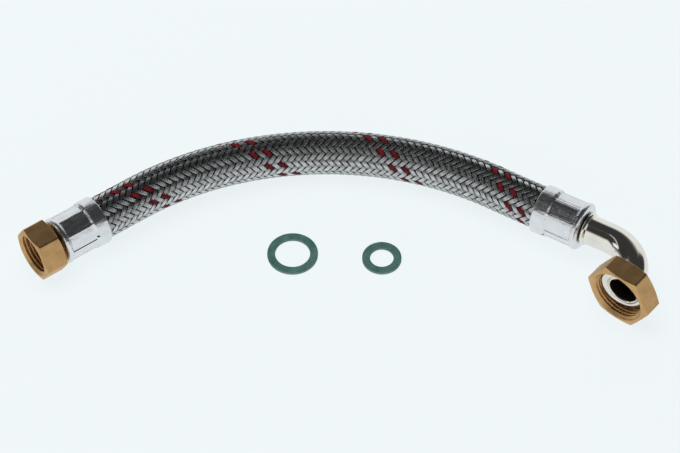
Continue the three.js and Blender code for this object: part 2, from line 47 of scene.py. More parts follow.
# How the hose lies: headings and the rise are in degrees
HOSE_START = (-111.6414, 3.3838)
STRAIGHT_AT_HALF_INCH = 21.4
STRAIGHT_AT_ELBOW = 24
BEND_RADIUS = 153
HEADING_HALF_INCH = 36.2
HEADING_ELBOW = -32
ELBOW_RISE = 2.5
HOSE_LOW = 10.6
HALF_INCH_HEIGHT = 12
CORNER_HEIGHT = 15

# Braid
HOSE_RADIUS = 10.5
BRAID_PITCH = 3.511  # between strands of one hand, along the hose
STRANDS = 18  # of each hand
BANDS = 9  # rows of floats round the hose
FLOAT_CENTRE = math.radians(39)  # middle of a row where falling strands lie on top
FLOAT_FLATNESS = 1.25  # over 1, so that a strand stays up and down for a while
FALLING_START = math.radians(-6)  # turn of the first falling strand at the hose's start
RISING_START = math.radians(14)
START_PLAY = 0.004  # how unevenly the strands are spread, in radians
TRACERS = (1, 17)  # falling strands that are red
STRAND_WIDTH = 1.94
WIDTH_PLAY = (0.97, 1.02)
DIP_SQUEEZE = 0.16  # share of its width that a strand loses between top and bottom
STRAND_LIFT = 0.27  # how far a strand rises and dips
STRAND_CROWN = 0.12
STRAND_BACK = 0.16
WIRES = 8  # in a strand
WIRE_RELIEF = 0.085
GROOVE_SHADE = 0.3  # painted shade: how much darker the grooves between the wires are painted
TONE_PLAY = 0.12
STRAND_STEP = 0.93  # along the hose
BRAID_ENTRY = 7  # how far the braid runs into each ferrule

# Rubber tube inside the braid
TUBE_RADIUS = 8.8
TUBE_PRESSED = 8.35  # its radius under the ferrules' crimps
TUBE_BORE = 6.5
TUBE_ENTRY = 21.4  # how far it runs into each ferrule
TUBE_SLOPE = (7.8, 3.4)  # from the ferrule's edge, where it goes from one radius to the other

# Ferrules, from the edge at the hose. Turns are in degrees.
FERRULE_LENGTH = 24
COLLAR_RADIUS = 11.9
COLLAR_ROUND = 0.5  # how far its edge at the hose curves in
COLLAR_EDGE = 0.6  # how long that curve is
COLLAR_END = 6.3
CRIMP_START = 8.2
CRIMP_END = 20.3
CRIMP_RADIUS = 10.75
CRIMP_SWELL = 0.12
CRIMP_HOLLOW = 0.16  # between two ridges
CRIMP_JAWS = 8
RIDGE_HEIGHT = 0.38
RIDGE_HALF_WIDTH = 0.38
RIDGE_FLANK = 0.3
RIDGE_SHIFT = 0.018  # how unevenly the ridges are spread, as a share of a jaw
RIDGE_PLAY = (0.75, 1.15)
RIM_RADIUS = 11.7
RIM_RISE = 1.5  # length of the slope from the crimp to the rim
RIM_ROLL = 2.6  # how far its end curves in
ROLL_LENGTH = 1.6
SIGHT_HOLE_AT = 7
SIGHT_HOLE_RADIUS = 0.6
SIGHT_HOLE_CUT = (8.6, 13.5)  # from inside the wall to outside it
SIGHT_HOLE_SIDES = 16
STRAIGHT_FERRULE = {"first_ridge": 5, "sight_hole": 16}
ELBOW_FERRULE = {"first_ridge": 1, "sight_hole": 200}

# Tails, from the same edge of their ferrules
STEM_START = 2
STEM_BORE = 5
BARBS = 3
BARB_LENGTH = 5
BARB_VALLEY = 5.8
BARB_CREST = 6.2
SHOULDER_START = 21.7  # a ring that the ferrule's rim holds
SHOULDER_END = 22.9
SHOULDER_RADIUS = 7.9
NECK_RADIUS = 6.5
BEAD_RADIUS = 8.3
BEAD_FILLET = 0.1
STRAIGHT_BEAD = 1
BEAD_PLAY = 0.15  # between that bead and the back of its nut
ELBOW_BEAD = 2.4
STRAIGHT_NECK_RADIUS = 7
FLANGE_THICKNESS = 1.8
FLANGE_EDGE = 0.3
ELBOW_TUBE_RADIUS = 7.15
ELBOW_BORE_RADIUS = 6.4
ELBOW_MOUTH_RADIUS = 6.9
ELBOW_BEND_RADIUS = 20
ELBOW_CORNER_AT = 57.3
ELBOW_MOUTH_STRAIGHT = 4.8
MOUTH_LIP = (  # from the flange's face into the mouth: beyond the mouth's radius, and along it
    (2.1, 0), (1.8, -0.12), (1.55, -0.35), (1.3, -0.35), (1.05, -0.12), (0.8, 0), (0.55, -0.03),
    (0.25, -0.25), (0.05, -0.6), (0, -0.8),
)
FIT_GAP = 0.3

# Nuts and gaskets. A rock is how far a nut leans on its tail, in degrees, and a gasket's sizes are
# its outer and inner diameters.
PITCH = 1.814
THREAD_DEPTH = 1.1615
THREAD_STEPS = 18  # in one turn
THREAD_FLATNESS = 1.12  # over 1, so that crests and roots are flat
THREAD_FADE = 0.9  # length over which its end runs out
THREAD_UNDERCUT = 1.6  # between that end and the bottom of the bore
NUT_LIP = 2.2
NUT_HOLE_GAP = 0.45
NUT_CHAMFER = math.radians(20)
NUT_FACE_INSET = 0.6
NUT_COLUMNS = 180
NUT_EDGE = 0.12  # reach of the curve at the edges of its faces
CHAMFER_EDGE = 0.22
CORNER_EASE = 0.15  # how much its six corners are cut back
CORNER_REACH = 0.6
HALF_INCH = {"flats": 24, "face": 7.7, "major": 20.96, "rock": 0, "gasket": (18.6, 11.2)}
THREE_QUARTER = {"flats": 30, "face": 5, "major": 26.44, "rock": 8, "gasket": (24, 16.6)}
GASKET_THICKNESS = 1.5
GASKET_EDGE = 0.22

# Light: the height of the bright walls round the object, from behind the camera to behind the object
WALL_TOPS = ((0.0, 0.54), (0.25, 0.5), (0.4, 0.02), (0.82, 0.0), (0.9, 0.48), (1.0, 0.58))
WALL_EDGE = 0.13
WALL_BRIGHT = 0.95
ROOM_DARK = 0.042
ROOM_COLOUR = (0.97, 0.99, 1)
LAMPS = (  # name, place and size in metres, watts, and whether the metal shows it
    ("top_lamp", (-0.3, 0.2, 1.7), (1.6, 1.6), 24, False),
    ("strip_lamp", (-1.15, 0.1, 1.45), (0.12, 1.2), 0.35, True),
    ("side_card", (-1.3, -0.05, 0.55), (0.5, 0.5), 0.8, True),
)
FLOOR_REACH = 6.0  # metres
FLOOR_COLOUR = (0.72, 0.76, 0.8)
FLOOR_GLOW = (0.925, 0.985, 1.0)
GLOW_SHARE = 0.85

UP = np.array([0.0, 0.0, 1.0])
DICE = np.random.default_rng(7)


def direction(heading, rise=0.0):
    """A heading seen from above and a rise, in degrees, as a direction."""
    h, r = math.radians(heading), math.radians(rise)
    return np.array([math.cos(r) * math.cos(h), math.cos(r) * math.sin(h), math.sin(r)])


def smooth(x):
    """0 below 0, 1 above 1 and a soft step between."""
    x = np.clip(x, 0, 1)
    return x * x * (3 - 2 * x)


def round_steps(count):
    """Angles once round, evenly spread."""
    return np.linspace(0, 2 * np.pi, count, endpoint=False)


# Centre lines: each takes an array of stations and gives points and the two cross axes.


def cross_axes(point, along):
    along = along / np.linalg.norm(along, axis=-1, keepdims=True)
    side = np.cross(UP, along)
    side /= np.linalg.norm(side, axis=-1, keepdims=True)
    return point, side, np.cross(along, side)


def straight_line(origin, along):
    def line(s):
        s = np.asarray(s, float)[..., None]
        return cross_axes(origin + s * along, along + 0 * s)

    return line


def upright_line(centre):
    """Straight up from a point on the ground."""

    def line(s):
        s = np.asarray(s, float)[..., None]
        return centre + s * UP, np.array([1.0, 0, 0]) + 0 * s, np.array([0, 1.0, 0]) + 0 * s

    return line


def elbow_line(origin, inlet, outlet):
    """Straight, a quarter turn, straight to the mouth. Gives the line and both ends of its bend."""
    turn = math.acos(float(np.dot(inlet, outlet)))
    tangent = ELBOW_BEND_RADIUS * math.tan(turn / 2)
    start = ELBOW_CORNER_AT - tangent
    end = start + ELBOW_BEND_RADIUS * turn
    inward = outlet - inlet * np.dot(inlet, outlet)
    inward = inward / np.linalg.norm(inward)
    centre = origin + inlet * start + inward * ELBOW_BEND_RADIUS

    def line(s):
        s = np.asarray(s, float)[..., None]
        a = np.clip((s - start) / ELBOW_BEND_RADIUS, 0, turn)
        along = inlet * np.cos(a) + inward * np.sin(a)
        bend = centre - inward * ELBOW_BEND_RADIUS * np.cos(a) + inlet * ELBOW_BEND_RADIUS * np.sin(a)
        point = bend + inlet * np.minimum(s - start, 0) + along * np.maximum(s - end, 0)
        return cross_axes(point, along)

    return line, start, end


class Hose:
    """The hose's centre line, from the edge of one ferrule to the edge of the other."""

    turn = math.radians(HEADING_HALF_INCH - HEADING_ELBOW)
    arc = BEND_RADIUS * turn
    length = STRAIGHT_AT_HALF_INCH + arc + STRAIGHT_AT_ELBOW
    middle = STRAIGHT_AT_HALF_INCH + arc / 2
    end_height = CORNER_HEIGHT - ELBOW_CORNER_AT * math.sin(math.radians(ELBOW_RISE))

    @classmethod
    def point(cls, s):
        s = np.asarray(s, float)
        first, last = direction(HEADING_HALF_INCH), direction(HEADING_ELBOW)
        right = np.cross(first, UP)
        a = np.clip((s - STRAIGHT_AT_HALF_INCH) / BEND_RADIUS, 0, cls.turn)[..., None]
        centre = first * STRAIGHT_AT_HALF_INCH + right * BEND_RADIUS
        plan = centre - right * BEND_RADIUS * np.cos(a) + first * BEND_RADIUS * np.sin(a)
        plan = plan + first * np.minimum(s - STRAIGHT_AT_HALF_INCH, 0)[..., None]
        plan = plan + last * np.maximum(s - STRAIGHT_AT_HALF_INCH - cls.arc, 0)[..., None]
        plan = plan + np.array([*HOSE_START, 0])
        plan[..., 2] = cls.height(s)
        return plan

    @classmethod
    def height(cls, s):
        """Down from the straight end to the middle, and up to the elbow's rise."""
        fall = HALF_INCH_HEIGHT + (HOSE_LOW - HALF_INCH_HEIGHT) * smooth(s / cls.middle)
        run = cls.length - cls.middle
        slope = math.tan(math.radians(ELBOW_RISE))
        u = np.clip((s - cls.middle) / run, 0, 1)
        climb = HOSE_LOW + (cls.end_height - HOSE_LOW) * smooth(u) + run * slope * u * u * (u - 1)
        beyond = slope * np.maximum(s - cls.length, 0)
        return np.where(s < cls.middle, fall, climb + beyond)

    @classmethod
    def line(cls, s):
        s = np.asarray(s, float)
        return cross_axes(cls.point(s), cls.point(s + 0.01) - cls.point(s - 0.01))


def on_line(line, station, angle, radius):
    """Points at stations, angles and radii about a centre line."""
    station, angle, radius = np.broadcast_arrays(station, angle, radius)
    point, side, up = line(station)
    out = np.cos(angle)[..., None] * side + np.sin(angle)[..., None] * up
    return point + radius[..., None] * out


# Meshes


def grid_faces(rows, columns, wrap_rows=True):
    """Quads over a grid of vertices that closes round its columns."""
    r = np.arange(rows if wrap_rows else rows - 1)[:, None] + 0 * np.arange(columns)
    c = np.arange(columns)[None, :] + 0 * r
    r2, c2 = (r + 1) % rows, (c + 1) % columns
    corners = [r * columns + c, r * columns + c2, r2 * columns + c2, r2 * columns + c]
    return np.stack(corners, -1).reshape(-1, 4)


def faces_out(points, quads):
    """The quads, turned over where the closed skin has its faces inward."""
    a, b, c, d = (points[quads[:, i]] for i in range(4))
    volume = sum(np.einsum("ij,ij->i", a, np.cross(*pair)).sum() for pair in ((b, c), (c, d)))
    return quads[:, ::-1] if volume < 0 else quads


def set_attribute(mesh, name, values):
    """Keeps a number or a vector for each of a mesh's points."""
    kind, field = ("FLOAT", "value") if values.ndim == 1 else ("FLOAT_VECTOR", "vector")
    attribute = mesh.attributes.get(name) or mesh.attributes.new(name, kind, "POINT")
    attribute.data.foreach_set(field, values.astype(np.float32).ravel())


def add_piece(name, points, quads, body, material, slot=None, stands_for=(), sharp=40, **attributes):
    """A piece that rides on a body. Edges over the sharp angle, in degrees, stay sharp."""
    mesh = bpy.data.meshes.new(name)
    mesh.vertices.add(len(points))
    mesh.vertices.foreach_set("co", (points * MM).astype(np.float32).ravel())
    mesh.loops.add(quads.size)
    mesh.loops.foreach_set("vertex_index", quads.astype(np.int32).ravel())
    mesh.polygons.add(len(quads))
    mesh.polygons.foreach_set("loop_start", np.arange(0, quads.size, 4, dtype=np.int32))
    mesh.polygons.foreach_set("loop_total", np.full(len(quads), 4, np.int32))
    mesh.update(calc_edges=True)
    mesh.validate()
    mesh.polygons.foreach_set("use_smooth", np.ones(len(mesh.polygons), bool))
    mesh.set_sharp_from_angle(angle=math.radians(sharp))
    for label, values in attributes.items():
        set_attribute(mesh, label, values)
    mesh.materials.append(material)
    piece = bpy.data.objects.new(name, mesh)
    bpy.context.scene.collection.objects.link(piece)
    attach(piece, body)
    if stands_for:
        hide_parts(*stands_for)
    return piece


def add_skin(name, line, station, turn, radius, body, material, **details):
    """A piece from a closed grid of stations, turns and radii about a centre line."""
    points = on_line(line, station, turn, radius).reshape(-1, 3)
    local = np.stack([radius * np.cos(turn), radius * np.sin(turn), station], -1).reshape(-1, 3)
    quads = faces_out(points, grid_faces(*station.shape))
    return add_piece(name, points, quads, body, material, local=local, **details)


def turned(name, line, outline, body, material, columns=96, **details):
    """A closed outline of (station, radius) turned round a centre line."""
    outline = np.asarray(outline, float)
    turn = round_steps(columns)[None, :] + 0 * outline[:, :1]
    station, radius = outline[:, :1] + 0 * turn, outline[:, 1:] + 0 * turn
    return add_skin(name, line, station, turn, radius, body, material, **details)


def corner_points(first, corner, last, steps):
    """Points of a small curve from first to last, in place of a corner."""
    return [(1 - t) ** 2 * first + 2 * t * (1 - t) * corner + t * t * last for t in steps]


def rounded(outline, reach):
    """A closed outline of (station, radius) with each corner cut by a small curve."""
    points = np.array(outline, float)
    before, after = np.roll(points, 1, 0) - points, np.roll(points, -1, 0) - points
    rounds = []
    for corner, b, a in zip(points, before, after):
        lb, la = np.linalg.norm(b), np.linalg.norm(a)
        first = corner + b / lb * min(reach, lb / 2.5)
        last = corner + a / la * min(reach, la / 2.5)
        rounds += corner_points(first, corner, last, (0, 0.33, 0.67, 1))
    return np.array(rounds)


# Braid


def strand(hand, start):
    """One flat bundle of wires: hand 1 falls to the right as it is seen from the front, hand -1 rises."""
    turn_rate = 2 * np.pi / (STRANDS * BRAID_PITCH)
    slant = math.atan(HOSE_RADIUS * turn_rate)
    steps = int((Hose.length + 2 * BRAID_ENTRY) / STRAND_STEP)
    s = np.linspace(-BRAID_ENTRY, Hose.length + BRAID_ENTRY, steps)[:, None]
    angle = start + hand * turn_rate * s
    lift = np.clip(FLOAT_FLATNESS * hand * np.cos(BANDS * (angle - FLOAT_CENTRE)), -1, 1)
    half = STRAND_WIDTH / 2 * (1 - DIP_SQUEEZE * (1 - lift**2)) * DICE.uniform(*WIDTH_PLAY)

    # Across the strand: its wires and the grooves between them, then the two corners of its back
    count = 2 * WIRES + 1
    t = np.linspace(-1, 1, count)[None, :]
    wire = np.where(np.arange(count) % 2, WIRE_RELIEF, -WIRE_RELIEF)[None, :]
    middle = HOSE_RADIUS - STRAND_LIFT - WIRE_RELIEF + STRAND_LIFT * lift
    back = middle - STRAND_BACK - STRAND_CROWN
    radius = np.concatenate([middle - STRAND_CROWN * t**2 + wire, back, back], 1)
    t = np.concatenate([t, [[1, -1]]], 1)
    across = half * t
    station = s - hand * across * math.sin(slant)
    turn = angle + across * math.cos(slant) / HOSE_RADIUS
    points = on_line(Hose.line, station, turn, radius)
    # Painted shade: a strand is darker where it dips under the other hand and in the grooves between its
    # wires, with random tone on top.
    painted_groove_shade = np.where(np.arange(count + 2) % 2, 0, GROOVE_SHADE)
    tone = 0.5 + 0.5 * lift + 0 * t - painted_groove_shade + DICE.uniform(-TONE_PLAY, TONE_PLAY)
    return points, tone


def strands(hand, chosen, first):
    """Vertices, quads and painted shade with random tone of several strands of one hand, and which vertices
    are in a groove.
    """
    points, quads, tones, between, base = [], [], [], [], 0
    for i in chosen:
        grid, tone = strand(hand, first + 2 * np.pi * i / STRANDS + DICE.normal(0, START_PLAY))
        rows, columns = grid.shape[:2]
        points.append(grid.reshape(-1, 3))
        tones.append(tone.ravel())
        between.append(np.tile(np.arange(columns) % 2 == 0, rows))
        quads.append(grid_faces(rows, columns, wrap_rows=False) + base)
        base += rows * columns
    quads = np.concatenate(quads)
    if hand > 0:
        quads = quads[:, ::-1]
    return np.concatenate(points), quads, np.concatenate(tones), np.concatenate(between)


def add_strands(name, hand, chosen, first, material, **details):
    """Several strands as one piece, with a sharp edge in each groove between two wires."""
    points, quads, tone, between = strands(hand, chosen, first)
    # The strands carry their painted shade, with random tone, as a point attribute.
    piece = add_piece(name, points, quads, "hose", material, tone=tone, sharp=180, **details)
    ends = np.empty(2 * len(piece.data.edges), np.int32)
    piece.data.edges.foreach_get("vertices", ends)
    kept = piece.data.attributes
    sharp = kept.get("sharp_edge") or kept.new("sharp_edge", "BOOLEAN", "EDGE")
    sharp.data.foreach_set("value", between[ends.reshape(-1, 2)].all(1))
    return piece


def add_braid(steel, tracer):
    falling = [i for i in range(STRANDS) if i not in TRACERS]
    main = add_strands(
        "braid_falling", 1, falling, FALLING_START, steel, slot="braid_wire", stands_for=["wire_braid"]
    )
    rising = add_strands("braid_rising", -1, range(STRANDS), RISING_START, steel, slot="braid_wire")
    red = add_strands("braid_tracers", 1, TRACERS, FALLING_START, tracer)
    return main, rising, red


def add_tube(material):
    """The rubber tube inside the braid, pressed thinner under the ferrules."""
    s = np.linspace(-1, Hose.length + 1, 90)
    thin, thick = TUBE_SLOPE
    ends = [(-TUBE_ENTRY, TUBE_PRESSED), (-thin, TUBE_PRESSED), (-thick, TUBE_RADIUS)]
    outline = ends + [(x, TUBE_RADIUS) for x in s] + [(Hose.length - x, r) for x, r in ends[::-1]]
    outline += [(Hose.length + TUBE_ENTRY, TUBE_BORE)] + [(x, TUBE_BORE) for x in s[::-1]]
    outline += [(-TUBE_ENTRY, TUBE_BORE)]
    return turned(
        "inner_tube_rubber", Hose.line, outline, "hose", material, columns=48,
        slot="tube_rubber", stands_for=["inner_tube"],
    )


# Ferrules


def ferrule_radius(angle, station, first_ridge, jaws):
    """Outer radius of a crimped ferrule. jaws has a small shift and a height for each of its ridges."""
    jaw = 2 * np.pi / CRIMP_JAWS
    place = (angle - math.radians(first_ridge)) / jaw
    which = np.round(place).astype(int) % CRIMP_JAWS
    from_ridge = np.abs(place - np.round(place) - jaws[0][which]) * jaw * CRIMP_RADIUS
    ridge = RIDGE_HEIGHT * jaws[1][which] * (1 - smooth((from_ridge - RIDGE_HALF_WIDTH) / RIDGE_FLANK))
    hollow = CRIMP_HOLLOW * (1 - np.cos(2 * np.pi * place)) / 2
    crimp = CRIMP_RADIUS + CRIMP_SWELL + ridge - hollow
    collar = COLLAR_RADIUS - COLLAR_ROUND * (1 - smooth((station + 0.05) / COLLAR_EDGE)) ** 2
    down = smooth((station - COLLAR_END) / (CRIMP_START - COLLAR_END))
    up = smooth((station - CRIMP_END) / RIM_RISE)
    body = collar + (crimp - collar) * down
    return body + (RIM_RADIUS - body) * up


def ferrule_stations():
    """From the edge at the hose to where the rim begins to roll in, closer together on the curves."""
    parts = [
        [0, COLLAR_EDGE / 4, COLLAR_EDGE * 0.6, COLLAR_EDGE],
        np.linspace(2 * COLLAR_EDGE, COLLAR_END - 0.2, 6),
        np.linspace(COLLAR_END, CRIMP_START, 8),
        np.linspace(CRIMP_START + 0.4, CRIMP_END - 0.2, 16),
        np.linspace(CRIMP_END, CRIMP_END + RIM_RISE, 7),
        [FERRULE_LENGTH - ROLL_LENGTH],
    ]
    return np.concatenate(parts)[:, None]


def ferrule_inside():
    """From the hole in the rim back to the edge at the hose."""
    hole = NECK_RADIUS + FIT_GAP
    return np.array([
        (FERRULE_LENGTH, hole + 0.2), (FERRULE_LENGTH - 0.1, hole), (23.2, hole), (23.2, 10.0),
        (20.9, 10.0), (19.8, 9.95), (8.5, 9.95), (6, 10.8), (0.3, 10.8), (0, 11.0),
    ])


def add_ferrule(name, line, node, turns, material):
    angle = round_steps(CRIMP_JAWS * 30)[None, :]
    s = ferrule_stations()
    jaws = DICE.normal(0, RIDGE_SHIFT, CRIMP_JAWS), DICE.uniform(*RIDGE_PLAY, CRIMP_JAWS)
    outer = ferrule_radius(angle, s, turns["first_ridge"], jaws)
    roll = np.linspace(0, np.pi / 2, 10)[1:, None]
    roll_s = FERRULE_LENGTH - ROLL_LENGTH + ROLL_LENGTH * np.sin(roll)
    roll_r = RIM_RADIUS - RIM_ROLL * (1 - np.cos(roll))
    inner = ferrule_inside()
    station = np.concatenate([s, roll_s, inner[:, :1]]) + 0 * angle
    radius = np.concatenate([outer, roll_r + 0 * angle, inner[:, 1:] + 0 * angle])
    piece = add_skin(
        name, line, station, angle + 0 * station, radius, "hose", material,
        slot="ferrule_metal", stands_for=[node], sharp=45,
    )
    cut_away(piece, sight_hole(line, turns["sight_hole"]))

    # The cut loses the surface places, so they are worked out again from the line's own axes.
    mesh = piece.data
    places = np.empty(len(mesh.vertices) * 3, np.float32)
    mesh.vertices.foreach_get("co", places)
    centre, side, rise = line(np.array(0.0))
    along = line(np.array(1.0))[0] - centre
    away = places.reshape(-1, 3) / MM - centre
    set_attribute(mesh, "local", np.stack([away @ side, away @ rise, away @ along], -1))
    return piece


def sight_hole(line, turn):
    """A short round bar where the sight hole is, on the slope behind the collar."""
    n = SIGHT_HOLE_SIDES
    ring = round_steps(n)
    around = np.cos(ring) * SIGHT_HOLE_RADIUS
    station = SIGHT_HOLE_AT + np.sin(ring) * SIGHT_HOLE_RADIUS
    rows = [
        on_line(line, station, math.radians(turn) + np.arctan2(around, depth), np.hypot(depth, around))
        for depth in SIGHT_HOLE_CUT
    ]
    points = np.concatenate(rows) * MM
    faces = [tuple(range(n)), tuple(range(2 * n - 1, n - 1, -1))]
    faces += [(i, i + n, (i + 1) % n + n, (i + 1) % n) for i in range(n)]
    face_side = np.cross(points[0] - points[n // 2], points[n // 4] - points[3 * n // 4])
    if face_side @ (points[0] - points[n]) < 0:
        faces = [face[::-1] for face in faces]
    mesh = bpy.data.meshes.new("drill")
    mesh.from_pydata(points.tolist(), [], faces)
    return mesh


def cut_away(piece, shape):
    """Takes a mesh's shape out of a piece."""
    cutter = bpy.data.objects.new(shape.name, shape)
    bpy.context.scene.collection.objects.link(cutter)
    bpy.context.view_layer.objects.active = cutter
    cut = piece.modifiers.new("cut", "BOOLEAN")
    cut.operation = "DIFFERENCE"
    cut.object = cutter
    bpy.context.view_layer.update()
    left = bpy.data.meshes.new_from_object(piece.evaluated_get(bpy.context.evaluated_depsgraph_get()))
    piece.modifiers.clear()
    piece.data = left
    bpy.data.objects.remove(cutter)


# Tails


def stem(bead):
    """The barbed part of a tail inside the hose, up to the bead."""
    outline = [(STEM_START, BARB_VALLEY)]
    for i in range(BARBS):
        crest = STEM_START + BARB_LENGTH * (i + 1)
        outline += [(crest - 0.2, BARB_CREST), (crest, BARB_VALLEY)]
    outline += [
        (SHOULDER_START, BARB_VALLEY), (SHOULDER_START, SHOULDER_RADIUS),
        (SHOULDER_END, SHOULDER_RADIUS), (SHOULDER_END, NECK_RADIUS),
        (FERRULE_LENGTH + FIT_GAP, NECK_RADIUS),
    ]
    return outline + bead


def bead_outline(length, after):
    """A rounded ring against the ferrule, ending on the tube behind it."""
    start = FERRULE_LENGTH + FIT_GAP
    end = start + length
    half = length / 2
    turns = np.linspace(-1, 1, 13) * np.pi / 2
    arc = [(start + half * (1 + math.sin(t)), BEAD_RADIUS - half * (1 - math.cos(t))) for t in turns]
    return arc + [(end, after + BEAD_FILLET), (end + BEAD_FILLET, after)]


def crest_radius(nut):
    return nut["major"] / 2 - THREAD_DEPTH


def flange_radius(nut):
    lean = math.radians(nut["rock"])
    return (crest_radius(nut) - FIT_GAP - FLANGE_THICKNESS * math.sin(lean)) / math.cos(lean)


def flange_outline(mouth, tube, flange, fillet, edge):
    """The back and the rim of a sealing flange, from its tube to near the edge of its face."""
    back = mouth - FLANGE_THICKNESS
    return [
        (back - fillet, tube), (back, tube + fillet), (back, flange - edge), (back + edge, flange),
        (mouth - FLANGE_EDGE, flange),
    ]


def lip_stations(nut):
    """Where the lip in a nut's back begins and ends, behind the tail's face."""
    lean = math.radians(nut["rock"])
    start = FLANGE_THICKNESS * math.cos(lean) + flange_radius(nut) * math.sin(lean) + FIT_GAP
    return start, start + NUT_LIP


def straight_mouth():
    return FERRULE_LENGTH + FIT_GAP + STRAIGHT_BEAD + lip_stations(HALF_INCH)[1]


def add_straight_tail(line, material):
    mouth = straight_mouth()
    flange = flange_radius(HALF_INCH)
    bore_edge = 0.8
    outline = stem(bead_outline(STRAIGHT_BEAD - BEAD_PLAY, STRAIGHT_NECK_RADIUS))
    outline += flange_outline(mouth, STRAIGHT_NECK_RADIUS, flange, 0.3, 0.2)
    outline += [
        (mouth, flange - FLANGE_EDGE), (mouth, STEM_BORE + bore_edge), (mouth - bore_edge, STEM_BORE),
        (STEM_START, STEM_BORE),
    ]
    return turned(
        "tail_straight_turned", line, outline, "hose", material, slot="brass", stands_for=["tail_straight"]
    )


def add_elbow_tail(line, start, end, material):
    mouth = end + ELBOW_MOUTH_STRAIGHT
    flange = flange_radius(THREE_QUARTER)
    bend = np.linspace(start, end, 40)
    bore_start = FERRULE_LENGTH + FIT_GAP + ELBOW_BEAD
    outline = stem(bead_outline(ELBOW_BEAD, ELBOW_TUBE_RADIUS))
    outline += [(s, ELBOW_TUBE_RADIUS) for s in (30, 34, *bend)]
    outline += flange_outline(mouth, ELBOW_TUBE_RADIUS, flange, 0.4, 0.25)
    outline += [(mouth - 0.08, flange - 0.08), (mouth, flange - FLANGE_EDGE)]
    outline += [(mouth + depth, ELBOW_MOUTH_RADIUS + reach) for reach, depth in MOUTH_LIP]
    outline += [(s, ELBOW_BORE_RADIUS) for s in (*bend[::-1], bore_start + 2)]
    outline += [(bore_start, STEM_BORE), (STEM_START, STEM_BORE)]
    return turned(
        "tail_elbow_plated", line, outline, "hose", material, slot="nickel_plate", stands_for=["tail_elbow"]
    )


# Nuts and gaskets


def ease_corner(profile, index, reach):
    """Swaps one corner of many profiles at once for a small curve. profile is rows by columns by 2."""
    corner, before, after = profile[index], profile[index - 1], profile[index + 1]
    back = (before - corner) / np.linalg.norm(before - corner, axis=-1, keepdims=True)
    on = (after - corner) / np.linalg.norm(after - corner, axis=-1, keepdims=True)
    curve = corner_points(corner + back * reach, corner, corner + on * reach, (0, 0.5, 1))
    return np.concatenate([profile[:index], curve, profile[index + 1:]])


def hexagon(angle, flats):
    """Distance from the axis to the side of a hexagon, its corners a little eased."""
    fold = np.mod(angle, math.pi / 3)
    sharp = flats / 2 / np.cos(fold - math.pi / 6)
    from_corner = np.minimum(fold, math.pi / 3 - fold) * flats / 2
    return sharp - CORNER_EASE * np.clip(1 - from_corner / CORNER_REACH, 0, 1) ** 2


def nut_angles():
    """Angles once round a nut, closer together at its six corners."""
    beside = [np.arange(6) * np.pi / 3 + e for e in np.radians([-2.6, -1.3, 1.3, 2.6])]
    return np.sort(np.mod(np.concatenate([round_steps(NUT_COLUMNS), *beside]), 2 * np.pi))


def thread_radius(angle, depth, nut, end):
    """Inner radius of a right-handed thread at a depth behind the nut's face."""
    place = np.mod((depth - PITCH * angle / (2 * np.pi)) / PITCH, 1)
    flank = np.clip(THREAD_FLATNESS * (1 - 4 * np.abs(place - 0.5)), -1, 1)
    wave = 0.7 * flank + 0.3 * np.sin(flank * np.pi / 2)
    fade = 1 - smooth((depth - end + THREAD_FADE) / THREAD_FADE)
    return crest_radius(nut) + THREAD_DEPTH * (0.5 + 0.5 * wave) * fade


def nut_rows(pairs, angle):
    """Rows of a nut's profile from (depth, radius), where either may vary round the nut."""
    return np.array([np.stack([depth + 0 * angle, radius + 0 * angle], -1) for depth, radius in pairs])


def nut_outside(angle, flats, height, hole, mouth):
    """From the hole in the back, over the six sides, to the mouth in the face."""
    side = hexagon(angle, flats)
    face = flats / 2 - NUT_FACE_INSET
    slope = (side - face) * math.tan(NUT_CHAMFER)
    profile = nut_rows([
        (height, hole + 0.3), (height, face), (height - slope, side), (height * 0.66, side),
        (height * 0.34, side), (slope, side), (0, face), (0, mouth),
    ], angle)
    for index, reach in ((6, NUT_EDGE), (5, CHAMFER_EDGE), (2, CHAMFER_EDGE), (1, NUT_EDGE)):
        profile = ease_corner(profile, index, reach)
    return profile


def nut_inside(angle, nut, height, hole, mouth, bore_end):
    """From the mouth, over the thread and the seat of the flange, to the hole in the back."""
    end = bore_end - THREAD_UNDERCUT
    depth = np.arange(NUT_EDGE, end + 0.1, PITCH / THREAD_STEPS)[:, None]
    radius = np.maximum(thread_radius(angle, depth, nut, end), mouth - depth)
    thread = np.stack([depth + 0 * angle, radius], -1)
    crest = crest_radius(nut)
    seat = nut_rows([
        (bore_end - 0.2, crest), (bore_end, crest - 0.2), (bore_end, hole + 0.2),
        (bore_end + 0.2, hole), (height - 0.3, hole),
    ], angle)
    return np.concatenate([thread, seat])


def add_nut(name, line, nut, tube_radius, node, body, material):
    """A hexagon union nut with its face at station 0 and its back behind it."""
    lip_start, lip_end = lip_stations(nut)
    height = nut["face"] + lip_end
    lean = math.radians(nut["rock"])
    hole = tube_radius / math.cos(lean) + lip_end * math.tan(lean) + NUT_HOLE_GAP
    mouth = nut["major"] / 2 + 0.5
    angle = nut_angles()
    outside = nut_outside(angle, nut["flats"], height, hole, mouth)
    inside = nut_inside(angle, nut, height, hole, mouth, nut["face"] + lip_start)
    grid = np.concatenate([outside, inside])
    station, radius = -grid[..., 0], grid[..., 1]
    piece = add_skin(
        name, line, station, angle + 0 * station, radius, body, material,
        slot="brass", stands_for=[node], sharp=50,
    )
    weigh = piece.modifiers.new("weighted_normals", "WEIGHTED_NORMAL")
    weigh.keep_sharp = True
    return piece


def add_gasket(name, node, nut, material):
    """A flat ring on the ground, where the CAD has it."""
    low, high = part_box(node)
    centre = (np.array(low) + np.array(high)) / 2 / MM
    centre[2] = 0
    outer, inner = (size / 2 for size in nut["gasket"])
    corners = [(0, outer), (GASKET_THICKNESS, outer), (GASKET_THICKNESS, inner), (0, inner)]
    outline = rounded(corners, GASKET_EDGE)
    return turned(
        name, upright_line(centre), outline, "hose", material, slot="gasket_fibre", stands_for=[node]
    )


# Nodes


